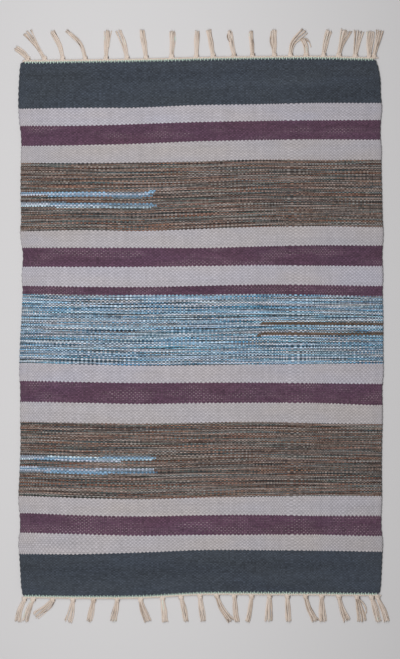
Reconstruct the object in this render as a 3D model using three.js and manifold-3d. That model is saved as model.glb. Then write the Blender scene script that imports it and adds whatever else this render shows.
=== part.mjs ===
// Flat-woven striped rug with a knotted fringe at each end, laid flat on a floor.
// Millimetres. X runs across the rug, Y along it, Z up. The floor is at Z = 0 and the
// origin is under the middle of the rug. The far end is +Y, the near end -Y.

import * as THREE from 'three';
import * as BufferGeometryUtils from 'three/addons/utils/BufferGeometryUtils.js';
import Module from 'manifold-3d';

// The woven cloth
const CLOTH_THICKNESS = 4;
const SELVEDGE_ROUNDING = 1.2;
const ROUNDING_STEPS = 2;
const CURVE_STEPS = 2;

// Bars, knots and strands are narrower at the top than at the foot
const TOP_SHARE = 0.6;

// The twined edge that each fringe hangs from
const PIECE_GAP = 0.3;
const EDGE_WIDTH = 4;
const EDGE_HEIGHT = 3;
const EDGE_END_INSET = 3;
const EDGE_STATION_SPACING = 20;

// Knots and the threads below them
const KNOT_WIDTH = 9;
const KNOT_LENGTH = 6.5;
const KNOT_HEIGHT = 4.2;
const KNOT_OVERLAP = 1.6;
const KNOT_END_SHARE = 0.75;
const STRANDS_PER_BUNCH = 5;
const STRAND_HEIGHT = 2;
const STRAND_GAP = 0.5;
const STRAND_STATIONS = 5;
const ROOT_WIDTH = 6;
const TIP_UNEVENNESS = 3;

// How far each selvedge stands from the middle line, at stations along the rug.
const SELVEDGES = [
  { y: -429, left: 298.5, right: 297.5 },
  { y: -369, left: 302, right: 300.5 },
  { y: -303, left: 302.5, right: 299 },
  { y: -237, left: 301, right: 298.5 },
  { y: -171, left: 299, right: 300 },
  { y: -105, left: 301, right: 301 },
  { y: -40, left: 301, right: 301 },
  { y: 26, left: 297.5, right: 301 },
  { y: 92, left: 297, right: 301 },
  { y: 158, left: 299, right: 301 },
  { y: 224, left: 299, right: 299 },
  { y: 290, left: 297.5, right: 299 },
  { y: 356, left: 302.5, right: 299 },
  { y: 405, left: 302.5, right: 297.5 },
  { y: 426, left: 301.5, right: 295 },
];

// Where the cloth ends at the far and near side, at stations across the rug.
const WOVEN_ENDS = [
  { x: -292, far: 434.5, near: 445 },
  { x: -233, far: 435.5, near: 445 },
  { x: -167, far: 435.5, near: 446.5 },
  { x: -101, far: 437, near: 445.5 },
  { x: -35, far: 439, near: 441 },
  { x: 31, far: 440, near: 440 },
  { x: 96, far: 441, near: 440 },
  { x: 162, far: 441.5, near: 440.5 },
  { x: 228, far: 441, near: 440 },
  { x: 286, far: 439, near: 441.5 },
];

// Bunches at the far end. root, bend and tip are places across the rug, out is how far
// the tip lies from the rug's middle, and waist and spread are the bunch's width half
// way down and at the tip.
const FAR_BUNCHES = [
  { root: -287.5, bend: -298, tip: -308.4, out: 459, waist: 11, spread: 8 },
  { root: -259, bend: -270.5, tip: -286, out: 486, waist: 6.5, spread: 15 },
  { root: -229.5, bend: -235, tip: -245, out: 487, waist: 7.5, spread: 7.5 },
  { root: -192.5, bend: -199.5, tip: -222, out: 487.9, waist: 6.5, spread: 6 },
  { root: -158, bend: -157.5, tip: -155, out: 488, waist: 8, spread: 11.5 },
  { root: -122, bend: -129.5, tip: -137.5, out: 488, waist: 9, spread: 10.5 },
  { root: -91.5, bend: -95, tip: -98.5, out: 489, waist: 7.5, spread: 8 },
  { root: -49.5, bend: -48.5, tip: -48, out: 487, waist: 10, spread: 11.5 },
  { root: -8.5, bend: -8, tip: -7.5, out: 488, waist: 8, spread: 7.5 },
  { root: 19, bend: 15.5, tip: 11.5, out: 489, waist: 8, spread: 8.5 },
  { root: 53.5, bend: 49.5, tip: 46, out: 488, waist: 8, spread: 7.5 },
  { root: 84, bend: 82.5, tip: 81, out: 487, waist: 8, spread: 7.5 },
  { root: 120, bend: 119, tip: 118, out: 489, waist: 10, spread: 13 },
  { root: 146.5, bend: 151.5, tip: 164, out: 488, waist: 7.5, spread: 7.5 },
  { root: 172.5, bend: 173, tip: 174, out: 487, waist: 7.5, spread: 7.5 },
  { root: 201.5, bend: 205, tip: 211, out: 488, waist: 10, spread: 9 },
  { root: 229, bend: 233, tip: 237.5, out: 489, waist: 11.5, spread: 17.5 },
  { root: 254, bend: 258, tip: 261.5, out: 488, waist: 9, spread: 10.5 },
  { root: 276, bend: 278, tip: 279, out: 487, waist: 8, spread: 10.5 },
  { root: 287, bend: 290, tip: 294, out: 488, waist: 8, spread: 12 },
];

// Bunches at the near end, in the same columns.
const NEAR_BUNCHES = [
  { root: -294, bend: -300, tip: -303.5, out: 488, waist: 7.5, spread: 7.5 },
  { root: -279, bend: -286, tip: -293, out: 487, waist: 9, spread: 11 },
  { root: -245.5, bend: -256.5, tip: -272, out: 479.5, waist: 8, spread: 13 },
  { root: -212, bend: -214.5, tip: -219.5, out: 489, waist: 10, spread: 12.5 },
  { root: -178, bend: -180, tip: -184, out: 488, waist: 8, spread: 9.5 },
  { root: -139.5, bend: -141.5, tip: -146, out: 487, waist: 8, spread: 9.5 },
  { root: -102, bend: -97, tip: -88, out: 487.5, waist: 10, spread: 11.5 },
  { root: -64.5, bend: -62.5, tip: -60, out: 489, waist: 8, spread: 8 },
  { root: -34, bend: -29.5, tip: -25.5, out: 488, waist: 8, spread: 8 },
  { root: -2.5, bend: 0, tip: 3.5, out: 487, waist: 8, spread: 8 },
  { root: 25.5, bend: 33, tip: 47.5, out: 487, waist: 9, spread: 10.5 },
  { root: 54, bend: 55.5, tip: 58.5, out: 489, waist: 8, spread: 9 },
  { root: 82.5, bend: 79.5, tip: 74, out: 488, waist: 8, spread: 8.5 },
  { root: 112, bend: 112, tip: 111, out: 487, waist: 10, spread: 12 },
  { root: 141.5, bend: 142.5, tip: 143, out: 488, waist: 8, spread: 9 },
  { root: 171.5, bend: 177, tip: 188, out: 487.7, waist: 8, spread: 10 },
  { root: 198, bend: 198.5, tip: 200, out: 488, waist: 9, spread: 9.5 },
  { root: 226.5, bend: 231.5, tip: 240, out: 487, waist: 9, spread: 11 },
  { root: 256.5, bend: 261, tip: 265, out: 488, waist: 10, spread: 14 },
  { root: 276.5, bend: 281, tip: 285, out: 489, waist: 9, spread: 13 },
  { root: 290.5, bend: 299, tip: 306.2, out: 488, waist: 7.5, spread: 9.5 },
];

// Materials
const cloth = new THREE.MeshStandardMaterial({ color: 0x6f7a84, roughness: 0.95, metalness: 0 });
const undyedCotton = new THREE.MeshStandardMaterial({ color: 0xcdbeb2, roughness: 0.9, metalness: 0 });

const wasm = await Module();
wasm.setup();

/** The line along one woven end: side is 1 at the far end and -1 at the near end. */
function wovenEnd(side) {
  const column = side > 0 ? 'far' : 'near';
  const points = WOVEN_ENDS.map((row) => new THREE.Vector2(row.x, side * row[column]));
  return new THREE.SplineCurve(points);
}

/** The height along Y of one woven end at a place across the rug. */
function wovenEndAt(side, x) {
  const first = WOVEN_ENDS[0].x;
  const last = WOVEN_ENDS[WOVEN_ENDS.length - 1].x;
  const stations = WOVEN_ENDS.map((row) => row.x);
  const within = THREE.MathUtils.clamp(x, first, last);
  const next = Math.max(1, stations.findIndex((station) => station >= within));
  const share = (within - stations[next - 1]) / (stations[next] - stations[next - 1]);
  return wovenEnd(side).getPoint((next - 1 + share) / (stations.length - 1)).y;
}

/** The cloth's outline seen from above: two selvedges, two woven ends, four soft corners. */
function clothOutline() {
  const left = SELVEDGES.map((row) => new THREE.Vector2(-row.left, row.y));
  const right = SELVEDGES.map((row) => new THREE.Vector2(row.right, row.y)).reverse();
  const far = wovenEnd(1).points;
  const near = wovenEnd(-1).points.slice().reverse();
  const sides = [left, far, right, near];
  const outline = new THREE.Shape();
  outline.moveTo(left[0].x, left[0].y);
  sides.forEach((side, index) => {
    const following = sides[(index + 1) % sides.length][0];
    const end = side[side.length - 1];
    const alongSelvedge = index % 2 === 0;
    const cornerX = alongSelvedge ? end.x : following.x;
    const cornerY = alongSelvedge ? following.y : end.y;
    outline.splineThru(side.slice(1));
    outline.quadraticCurveTo(cornerX, cornerY, following.x, following.y);
  });
  return outline;
}

/** The woven field: one flat sheet with rounded edges. */
function clothGeometry() {
  const geometry = new THREE.ExtrudeGeometry(clothOutline(), {
    depth: CLOTH_THICKNESS - 2 * SELVEDGE_ROUNDING,
    curveSegments: CURVE_STEPS,
    bevelThickness: SELVEDGE_ROUNDING,
    bevelSize: SELVEDGE_ROUNDING,
    bevelOffset: -SELVEDGE_ROUNDING,
    bevelSegments: ROUNDING_STEPS,
  });
  return geometry.translate(0, 0, SELVEDGE_ROUNDING);
}

/**
 * A closed bar with a flat foot on the floor, laid through stations of { x, y, half }.
 * Its four-sided section is 2 * half wide at the foot and narrower at the top.
 */
function barGeometry(stations, height) {
  const vertices = [];
  const faces = [];
  stations.forEach((station, index) => {
    const before = stations[Math.max(index - 1, 0)];
    const after = stations[Math.min(index + 1, stations.length - 1)];
    const length = Math.hypot(after.x - before.x, after.y - before.y);
    const acrossX = -(after.y - before.y) / length;
    const acrossY = (after.x - before.x) / length;
    const corners = [
      { reach: station.half, z: 0 },
      { reach: station.half * TOP_SHARE, z: height },
      { reach: -station.half * TOP_SHARE, z: height },
      { reach: -station.half, z: 0 },
    ];
    corners.forEach(({ reach, z }) => {
      vertices.push(station.x + acrossX * reach, station.y + acrossY * reach, z);
    });
  });
  for (let ring = 0; ring < stations.length - 1; ring += 1) {
    for (let side = 0; side < 4; side += 1) {
      const here = ring * 4 + side;
      const beside = ring * 4 + ((side + 1) % 4);
      faces.push(here, beside, beside + 4, here, beside + 4, here + 4);
    }
  }
  const last = (stations.length - 1) * 4;
  faces.push(0, 2, 1, 0, 3, 2);
  faces.push(last, last + 1, last + 2, last, last + 2, last + 3);
  const geometry = new THREE.BufferGeometry();
  geometry.setAttribute('position', new THREE.Float32BufferAttribute(vertices, 3));
  geometry.setIndex(faces);
  return geometry;
}

/** The narrow twined edge, laid along a woven end and parted from it. */
function twinedEdge(side) {
  const start = WOVEN_ENDS[0].x - EDGE_END_INSET;
  const end = WOVEN_ENDS[WOVEN_ENDS.length - 1].x + EDGE_END_INSET;
  const count = Math.round((end - start) / EDGE_STATION_SPACING);
  const stations = [];
  for (let index = 0; index <= count; index += 1) {
    const x = start + ((end - start) * index) / count;
    const y = wovenEndAt(side, x) + side * (PIECE_GAP + EDGE_WIDTH / 2);
    stations.push({ x, y, half: EDGE_WIDTH / 2 });
  }
  return barGeometry(stations, EDGE_HEIGHT);
}

/** One overhand knot, a low lump standing on the floor at a bunch's root. */
function knot(side, bunch) {
  const start = wovenEndAt(side, bunch.root) + side * (PIECE_GAP + EDGE_WIDTH - KNOT_OVERLAP);
  const widths = [KNOT_END_SHARE, 1, KNOT_END_SHARE];
  const stations = widths.map((share, index) => ({
    x: bunch.root,
    y: start + (side * KNOT_LENGTH * index) / (widths.length - 1),
    half: (share * KNOT_WIDTH) / 2,
  }));
  return barGeometry(stations, KNOT_HEIGHT);
}

/** The strands of one bunch, side by side from the knot to their uneven tips. */
function bunchStrands(side, bunch) {
  const inKnot = PIECE_GAP + EDGE_WIDTH - KNOT_OVERLAP + KNOT_LENGTH / 2;
  const rootY = wovenEndAt(side, bunch.root) + side * inKnot;
  const root = new THREE.Vector2(bunch.root, rootY);
  const tip = new THREE.Vector2(bunch.tip, side * bunch.out);
  const bend = new THREE.Vector2(bunch.bend, (root.y + tip.y) / 2);
  const middle = new THREE.SplineCurve([root, bend, tip]);
  const widths = new THREE.SplineCurve([
    new THREE.Vector2(0, ROOT_WIDTH),
    new THREE.Vector2(0.5, bunch.waist),
    new THREE.Vector2(1, bunch.spread),
  ]);
  const strands = [];
  for (let strand = 0; strand < STRANDS_PER_BUNCH; strand += 1) {
    const place = strand - (STRANDS_PER_BUNCH - 1) / 2;
    const shortening = (TIP_UNEVENNESS * ((strand * 2) % 3)) / 2;
    const reach = 1 - shortening / root.distanceTo(tip);
    const stations = [];
    for (let index = 0; index < STRAND_STATIONS; index += 1) {
      const share = (reach * index) / (STRAND_STATIONS - 1);
      const point = middle.getPoint(share);
      const tangent = middle.getTangent(share);
      const pitch = (widths.getPoint(share).y + STRAND_GAP) / STRANDS_PER_BUNCH;
      stations.push({
        x: point.x - tangent.y * place * pitch,
        y: point.y + tangent.x * place * pitch,
        half: (pitch - STRAND_GAP) / 2,
      });
    }
    strands.push(barGeometry(stations, STRAND_HEIGHT));
  }
  return strands;
}

/** A geometry as a solid, its shared points merged. */
function solidOf(geometry) {
  geometry.deleteAttribute('normal');
  geometry.deleteAttribute('uv');
  const merged = BufferGeometryUtils.mergeVertices(geometry);
  return new wasm.Manifold(new wasm.Mesh({
    numProp: 3,
    vertProperties: Float32Array.from(merged.attributes.position.array),
    triVerts: Uint32Array.from(merged.index.array),
  }));
}

/** All the pieces of one fringe as a single solid. */
function fused(geometries) {
  const whole = geometries.map(solidOf).reduce((sum, solid) => sum.add(solid));
  const mesh = whole.getMesh();
  const geometry = new THREE.BufferGeometry();
  geometry.setAttribute('position', new THREE.BufferAttribute(mesh.vertProperties, 3));
  geometry.setIndex(new THREE.BufferAttribute(mesh.triVerts, 1));
  geometry.computeVertexNormals();
  return geometry;
}

/** One fringe: its twined edge, with a knot and its strands for each bunch. */
function fringeGeometry(side, bunches) {
  const pieces = [twinedEdge(side)];
  bunches.forEach((bunch) => {
    pieces.push(knot(side, bunch), ...bunchStrands(side, bunch));
  });
  return fused(pieces);
}

/** A named mesh. */
function piece(name, geometry, material) {
  const mesh = new THREE.Mesh(geometry, material);
  mesh.name = name;
  return mesh;
}

const rug = new THREE.Group();
rug.add(piece('rug_field', clothGeometry(), cloth));
rug.add(piece('fringe_far', fringeGeometry(1, FAR_BUNCHES), undyedCotton));
rug.add(piece('fringe_near', fringeGeometry(-1, NEAR_BUNCHES), undyedCotton));

export default rug;
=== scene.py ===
"""A flat-woven striped cotton rug with a knotted fringe at each end, laid on a pale floor.

Metres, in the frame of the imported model: X runs across the rug, Y along it towards the
far fringe, Z up from the floor.
"""
from functools import partialmethod

import bpy
import mathutils
import numpy as np
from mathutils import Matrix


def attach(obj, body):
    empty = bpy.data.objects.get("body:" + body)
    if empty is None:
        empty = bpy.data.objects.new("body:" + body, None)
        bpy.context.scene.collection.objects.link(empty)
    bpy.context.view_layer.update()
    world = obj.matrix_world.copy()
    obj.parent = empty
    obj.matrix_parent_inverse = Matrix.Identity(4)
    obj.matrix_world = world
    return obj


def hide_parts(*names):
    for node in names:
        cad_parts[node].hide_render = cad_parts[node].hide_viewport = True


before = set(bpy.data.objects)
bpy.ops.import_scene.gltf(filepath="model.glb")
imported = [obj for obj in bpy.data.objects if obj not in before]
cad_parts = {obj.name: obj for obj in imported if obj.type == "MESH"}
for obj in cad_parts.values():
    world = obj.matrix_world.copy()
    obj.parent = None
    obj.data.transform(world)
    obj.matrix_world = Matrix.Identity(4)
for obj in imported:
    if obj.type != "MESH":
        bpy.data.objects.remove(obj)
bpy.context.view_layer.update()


# The woven field
# One piece of weft-faced cotton: thick dyed wefts beaten down hard over undyed warps, so
# that only the wefts show, as small beads. Stripes run from selvedge to selvedge, and a
# few short runs of another yarn are laid in by hand.

MM = 0.001
WARPS = 202
# Heights of the cloth's upper side, of its middle and of its under side, and the picks
# between two rows of points of that. How far beads rise, and the least and most of it that
# single ones do. How far the corners are drawn in, and the edges step aside and sink.
CLOTH_TOP = 3.75 * MM
CLOTH_MIDDLE = 2.0 * MM
CLOTH_UNDER = 0.15 * MM
UNDERSIDE_ROWS = 6
BEAD_RISE = 0.25 * MM
BEAD_RISE_SHARES = (0.7, 1.3)
CORNER_DRAW_IN = 2.5 * MM
SELVEDGE_LOOP = 0.35 * MM
SELVEDGE_SINK = 0.5 * MM
WOVEN_END_SINK = 0.3 * MM

# Uneven hand work: how far the picks, the warps and the cloth's upper side stray, and over
# what length. Then the share of each wave, and how many times shorter than that it is.
PICK_WANDER = (0.16 * MM, 190 * MM)
WARP_WANDER = (0.22 * MM, 260 * MM)
FACE_WANDER = (0.12 * MM, 240 * MM)
HAND_WAVES = ((0.6, 1.0), (0.3, 2.3), (0.2, 5.1))

# Each stripe from the far end: its yarn and its number of picks.
STRIPES = [
    ("teal", 31),
    ("grey", 12),
    ("purple", 13),
    ("ash", 14),
    ("brown", 42),
    ("ash", 12),
    ("purple", 12),
    ("grey", 12),
    ("purple", 6),
    ("blue", 48),
    ("grey", 11),
    ("purple", 12),
    ("ash", 12),
    ("brown", 47),
    ("ash", 11),
    ("purple", 12),
    ("ash", 10),
    ("teal", 30),
]

# Where the lines between the stripes lie along Y, in millimetres, at seven places across
# the rug. The first and last lines are the woven ends.
ACROSS = (-292.5, -200, -101, -2.5, 96.5, 195.5, 287.5)
STRIPE_LINES = [
    (434.5, 435.5, 437, 439.5, 441, 441.5, 439),
    (358, 359.5, 360, 364, 365.5, 367.5, 367.5),
    (330, 330, 333, 336, 338, 339, 339.5),
    (296.5, 298, 300.5, 304.5, 306.5, 307.5, 307),
    (269, 268.5, 269.5, 271.5, 274, 273.5, 274),
    (156, 158, 156.5, 160, 163.5, 164.5, 163),
    (129, 129, 129, 128.5, 131, 133, 132.5),
    (97.5, 97.5, 97.5, 99, 100, 99.5, 98.5),
    (66, 64.5, 64, 66, 68, 67.5, 66),
    (53, 51, 51, 51.5, 52.5, 51, 49),
    (-61.5, -63, -65.5, -64.5, -63.5, -62.5, -61.5),
    (-90.5, -92.5, -94, -93.5, -93.5, -94.5, -95.5),
    (-125, -126.5, -128.5, -127, -126.5, -127, -130.5),
    (-158, -160, -161, -159.5, -158, -160.5, -161.5),
    (-280, -283.5, -285.5, -283, -281, -280, -280),
    (-308.5, -312, -314, -312, -311.5, -313, -313),
    (-340.5, -343, -345.5, -344.5, -344, -344, -346),
    (-376, -376.5, -373.5, -369.5, -369.5, -370.5, -372),
    (-445, -446, -445.5, -440, -440, -440.5, -441.5),
]

# How far each selvedge stands from the middle line, in millimetres: place along the rug,
# left, right.
SELVEDGES = [
    (-444, 295, 293.5),
    (-429, 297.5, 295.5),
    (-402, 299, 297),
    (-379, 300.5, 298),
    (-356, 302, 299),
    (-333, 299, 296.5),
    (-310, 300, 296.5),
    (-287, 302, 297.5),
    (-240, 300, 297),
    (-194, 298.5, 297.5),
    (-148, 299, 298.5),
    (-102, 299, 298),
    (-79, 300.5, 300),
    (-33, 299.5, 299.5),
    (13, 297, 299.5),
    (59, 295, 298.5),
    (82, 296.5, 299.5),
    (117, 294.5, 298),
    (152, 299, 300),
    (175, 297.5, 298.5),
    (221, 298.5, 297.5),
    (267, 298, 296.5),
    (290, 297.5, 297),
    (313, 297.5, 295),
    (336, 300.5, 295.5),
    (359, 302, 297.5),
    (382, 302, 295.5),
    (405, 301, 295),
    (426, 299.5, 291.5),
    (441, 296.5, 287),
]

# Short runs of another yarn laid in by hand: the stripe they lie in, counted from the far
# end, their pick in it, their yarn, and the warps they run between.
LAID_IN = [
    (4, 17, "sky", 70, 74),
    (4, 18, "sky", -1, 49),
    (4, 18, "steel", 49, 68),
    (4, 18, "sky", 68, 73),
    (4, 19, "pale", -1, 70),
    (4, 20, "sky", 20, 72),
    (4, 21, "steel", 52, 66),
    (4, 24, "steel", -1, 30),
    (4, 25, "pale", -1, 21),
    (4, 25, "sky", 21, 72),
    (4, 26, "frost", -1, 22),
    (4, 26, "pale", 22, 50),
    (4, 26, "steel", 50, 70),
    (4, 26, "sky", 70, 74),
    (4, 27, "frost", 24, 71),
    (13, 20, "steel", 48, 71),
    (13, 21, "steel", -1, 20),
    (13, 21, "frost", 20, 46),
    (13, 21, "sky", 46, 74),
    (13, 22, "pale", -1, 18),
    (13, 22, "sky", 18, 44),
    (13, 22, "frost", 44, 72),
    (13, 23, "frost", -1, 11),
    (13, 23, "sky", 11, 24),
    (13, 23, "pale", 24, 56),
    (13, 28, "pale", -1, 14),
    (13, 28, "steel", 14, 44),
    (13, 28, "pale", 44, 73),
    (13, 29, "sky", -1, 20),
    (13, 29, "pale", 20, 46),
    (13, 29, "steel", 46, 73),
    (13, 30, "pale", -1, 22),
    (13, 30, "sky", 22, 75),
    (13, 31, "steel", -1, 18),
    (13, 31, "sky", 18, 50),
    (9, 19, "umber", 128, 203),
    (9, 20, "umber", 127, 203),
    (9, 26, "umber", 128, 203),
    (9, 27, "umber", 126, 203),
    (9, 28, "umber", 125, 128),
]

# Share of the width that a share of the warps takes: they stand closer at the right.
WARP_COUNT_SHARES = (0, 0.36, 0.72, 0.847, 1)
WIDTH_SHARES = (0, 0.3667, 0.7333, 0.858, 1)
CLOTH_WIDTH = 600 * MM

# Share of the bake's chart that the upper side takes, and where the under side begins.
UPPER_CHART = 0.66
UNDER_CHART = 0.68

stripe_starts = np.cumsum([0] + [picks for _, picks in STRIPES])
PICKS = int(stripe_starts[-1])


def through(stations, values, where):
    """Smooth curve through a table: Catmull-Rom between stations, held at both ends."""
    stations = np.asarray(stations, float)
    values = np.asarray(values, float)
    place = np.interp(where, stations, np.arange(len(stations)))
    start = np.clip(place.astype(int), 0, len(stations) - 2)
    t = place - start
    a, b, c, d = (values[np.clip(start + k, 0, len(stations) - 1)] for k in (-1, 0, 1, 2))
    return b + 0.5 * t * ((c - a) + t * ((2 * a - 5 * b + 4 * c - d) + t * (3 * b - a - 3 * c + d)))


def line_across(row, x):
    """Y of one line between stripes at places x: the smooth curve through its seven places."""
    return through(np.array(ACROSS) * MM, np.array(row) * MM, x)


def wander(rng, lines, where, size, length):
    """Uneven hand work: for each line a sum of three long waves with random phases."""
    wave = np.zeros((lines, len(where)))
    for share, shorter in HAND_WAVES:
        phase = rng.uniform(0, 2 * np.pi, (lines, 1))
        wave += share * np.sin(2 * np.pi * shorter * where / length + phase)
    return size * wave


def pick_lines(x):
    """Y of every pick at places x: even spacing between the stripe lines on either side."""
    lines = np.array([line_across(row, x) for row in STRIPE_LINES])
    picks = np.arange(PICKS)
    stripe = np.searchsorted(stripe_starts, picks, side="right") - 1
    share = (picks + 0.5 - stripe_starts[stripe]) / np.diff(stripe_starts)[stripe]
    return lines[stripe] * (1 - share[:, None]) + lines[stripe + 1] * share[:, None]


def selvedge(column, y, far_end, near_end):
    """X distance of one selvedge at y, drawn in along a quarter round at the corners."""
    table = np.array(SELVEDGES) * MM
    reach = through(table[:, 0], table[:, column], y)
    nearness = np.minimum(far_end - y, y - near_end) / CORNER_DRAW_IN
    bend = np.clip(1 - nearness, 0, 1)
    return reach - CORNER_DRAW_IN * (1 - np.sqrt(np.clip(1 - bend**2, 0, 1)))


def field_points(rng):
    """Grid of warp by pick, with one more row and column all round for the turned edge.

    Across the rug the warps share the width between the selvedges, and along it the
    picks follow the stripe lines. Where a weft passes over its warp the surface
    rises, and between such beads it sinks. Both selvedges step in and out by turns,
    two picks at a time, where the weft turns back.
    """
    warps = np.arange(-1, WARPS + 1)
    picks = np.arange(-1, PICKS + 1)
    counted = (np.clip(warps, -0.5, WARPS - 0.5) + 0.5) / WARPS
    share = through(WARP_COUNT_SHARES, WIDTH_SHARES, counted)
    x_even = (share - 0.5) * CLOTH_WIDTH
    y = np.zeros((len(picks), len(warps)))
    y[0] = line_across(STRIPE_LINES[0], x_even)
    y[-1] = line_across(STRIPE_LINES[-1], x_even)
    y[1:-1] = pick_lines(x_even) + wander(rng, PICKS, x_even, *PICK_WANDER)
    left = -selvedge(1, y, y[0], y[-1])
    right = selvedge(2, y, y[0], y[-1])
    x = left + share * (right - left)
    x[:, 2:-2] += wander(rng, WARPS - 2, y[:, 0], *WARP_WANDER).T
    over = np.where((warps + picks[:, None]) % 2 == 0, 1.0, -1.0)
    rise = BEAD_RISE * over * rng.uniform(*BEAD_RISE_SHARES, over.shape)
    z = CLOTH_TOP + rise + wander(rng, 1, (y + x).ravel(), *FACE_WANDER).reshape(y.shape)
    z[:, (1, -2)] -= SELVEDGE_SINK
    z[(1, -2), 1:-1] -= WOVEN_END_SINK
    z[:, (0, -1)] = CLOTH_MIDDLE
    z[(0, -1), :] = CLOTH_MIDDLE
    turned = SELVEDGE_LOOP * np.where(picks[1:-1] % 4 < 2, 1.0, -1.0)
    x[1:-1, 0] -= turned
    x[1:-1, -1] += turned
    return np.stack([x, y, z], axis=-1), warps, picks


def cells(grid):
    """The four corner points of every cell in a grid of point numbers, in order round it."""
    return np.stack([grid[:-1, :-1], grid[:-1, 1:], grid[1:, 1:], grid[1:, :-1]], -1)


def field_faces(warps, picks, upper, lower, under_rows):
    """Faces of the closed sheet, those of the upper side first.

    A cell of the upper side is split from crest to crest. Along a woven end the rim and the
    under side are joined by cells, and along a selvedge by one face for each two rows of the
    under side. A corner is one more face, which at two of the four runs the other way round.
    """
    crest = (warps[:-1] + picks[:-1, None]) % 2 == 0
    facing_up = cells(upper)[..., ::-1]
    facing_up = np.where(crest[..., None], facing_up, np.roll(facing_up, -1, -1))
    far_end = cells(np.stack([upper[0, 1:-1], lower[0]]))
    near_end = cells(np.stack([lower[-1], upper[-1, 1:-1]]))
    faces = []
    for sheet in (facing_up, cells(lower), far_end, near_end):
        faces += sheet.reshape(-1, 4).tolist()
    for k, (row, next_row) in enumerate(zip(under_rows[:-1], under_rows[1:])):
        rim = upper[row:next_row + 1]
        below = lower[k:k + 2]
        faces.append(below[:, 0].tolist() + rim[::-1, 0].tolist())
        faces.append(rim[:, -1].tolist() + below[::-1, -1].tolist())
    for row, next_row in ((0, 1), (-1, -2)):
        for column, next_column in ((0, 1), (-1, -2)):
            beside = [upper[row, next_column], upper[next_row, column]]
            if row != column:
                beside.reverse()
            corner = (upper[row, column], beside[0], lower[row, column], beside[1])
            faces.append([int(point) for point in corner])
    return faces


def field_mesh(name, rng):
    """The closed sheet: the beaded upper side, the turned edge and a flat under side.

    The weave map holds the warp and pick numbers, and the chart map lays the two sides
    next to each other for the bake.
    """
    top, warps, picks = field_points(rng)
    rows, columns = top.shape[:2]
    under_rows = np.append(np.arange(1, rows - 2, UNDERSIDE_ROWS), rows - 2)
    under = top[under_rows][:, 1:-1].copy()
    under[..., 2] = CLOTH_UNDER
    points = np.concatenate([top.reshape(-1, 3), under.reshape(-1, 3)])
    upper = np.arange(rows * columns).reshape(rows, columns)
    lower = upper.size + np.arange(under[..., 0].size).reshape(len(under_rows), -1)
    mesh = bpy.data.meshes.new(name)
    mesh.from_pydata(points.tolist(), [], field_faces(warps, picks, upper, lower, under_rows))

    numbers = np.meshgrid(np.clip(warps, -0.5, WARPS - 0.5), np.clip(picks, -0.5, PICKS - 0.5))
    weave = np.stack(numbers, -1)
    weave = np.concatenate([weave.reshape(-1, 2), weave[under_rows][:, 1:-1].reshape(-1, 2)])
    corner_points = np.empty(len(mesh.loops), int)
    mesh.loops.foreach_get("vertex_index", corner_points)
    weave = weave[corner_points]
    across, along = ((weave + 0.5) / (WARPS, PICKS)).T
    is_upper = np.arange(len(corner_points)) < 4 * (rows - 1) * (columns - 1)
    across = np.where(is_upper, across * UPPER_CHART, UNDER_CHART + across * (1 - UNDER_CHART))
    chart = np.stack([along, across], -1)
    mesh.uv_layers.new(name="weave").data.foreach_set("uv", weave.ravel())
    mesh.uv_layers.new(name="OFBake").data.foreach_set("uv", chart.ravel())
    mesh.shade_smooth()
    mesh.update()
    return mesh


def new_object(name, data):
    """An object at the origin with this mesh, lamp or camera, linked to the scene."""
    thing = bpy.data.objects.new(name, data)
    bpy.context.scene.collection.objects.link(thing)
    return thing


def linear(red, green, blue):
    """An sRGB colour of 0 to 255 as linear light, with full alpha."""
    channels = np.array([red, green, blue]) / 255
    light = np.where(channels <= 0.04045, channels / 12.92, ((channels + 0.055) / 1.055) ** 2.4)
    return (*light.tolist(), 1.0)


class Amount:
    """A number that changes over a surface: one socket of a shader's tree. Counting with it
    adds math nodes to that tree, so formulas can be written out as they are."""

    def __init__(self, tree, socket):
        self.tree = tree
        self.socket = socket

    def math(self, operation, *others):
        """One math node on this number and the others; gives its result."""
        node = self.tree.nodes.new("ShaderNodeMath")
        node.operation = operation
        for socket, value in zip(node.inputs, (self, *others)):
            wire(self.tree, value, socket)
        return Amount(self.tree, node.outputs[0])

    def __rsub__(self, whole):
        """The whole less this number."""
        return self * -1.0 + whole

    __add__ = partialmethod(math, "ADD")
    __sub__ = partialmethod(math, "SUBTRACT")
    __mul__ = partialmethod(math, "MULTIPLY")
    __truediv__ = partialmethod(math, "DIVIDE")
    __mod__ = partialmethod(math, "MODULO")
    __pow__ = partialmethod(math, "POWER")
    __gt__ = partialmethod(math, "GREATER_THAN")
    __abs__ = partialmethod(math, "ABSOLUTE")
    floor = partialmethod(math, "FLOOR")
    round = partialmethod(math, "ROUND")
    cosine = partialmethod(math, "COSINE")
    at_least = partialmethod(math, "MAXIMUM")
    at_most = partialmethod(math, "MINIMUM")


def wire(tree, value, socket):
    """Link an amount or a socket to a socket, or set a plain value on it."""
    if isinstance(value, Amount):
        tree.links.new(value.socket, socket)
    elif isinstance(value, bpy.types.NodeSocket):
        tree.links.new(value, socket)
    else:
        socket.default_value = value


def new_material(name, finish):
    """A material whose finish is set on its shader's own sockets; gives its tree and shader."""
    material = bpy.data.materials.new(name)
    material.use_nodes = True
    shader = material.node_tree.nodes["Principled BSDF"]
    for title, value in finish.items():
        shader.inputs[title].default_value = value
    return material, material.node_tree, shader


def new_group(name, *titles):
    """An empty shader node group with named inputs; gives its tree and each input."""
    tree = bpy.data.node_groups.new(name, "ShaderNodeTree")
    for title in titles:
        tree.interface.new_socket(title, in_out="INPUT", socket_type="NodeSocketFloat")
    source = tree.nodes.new("NodeGroupInput")
    return tree, *(Amount(tree, source.outputs[title]) for title in titles)


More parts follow.
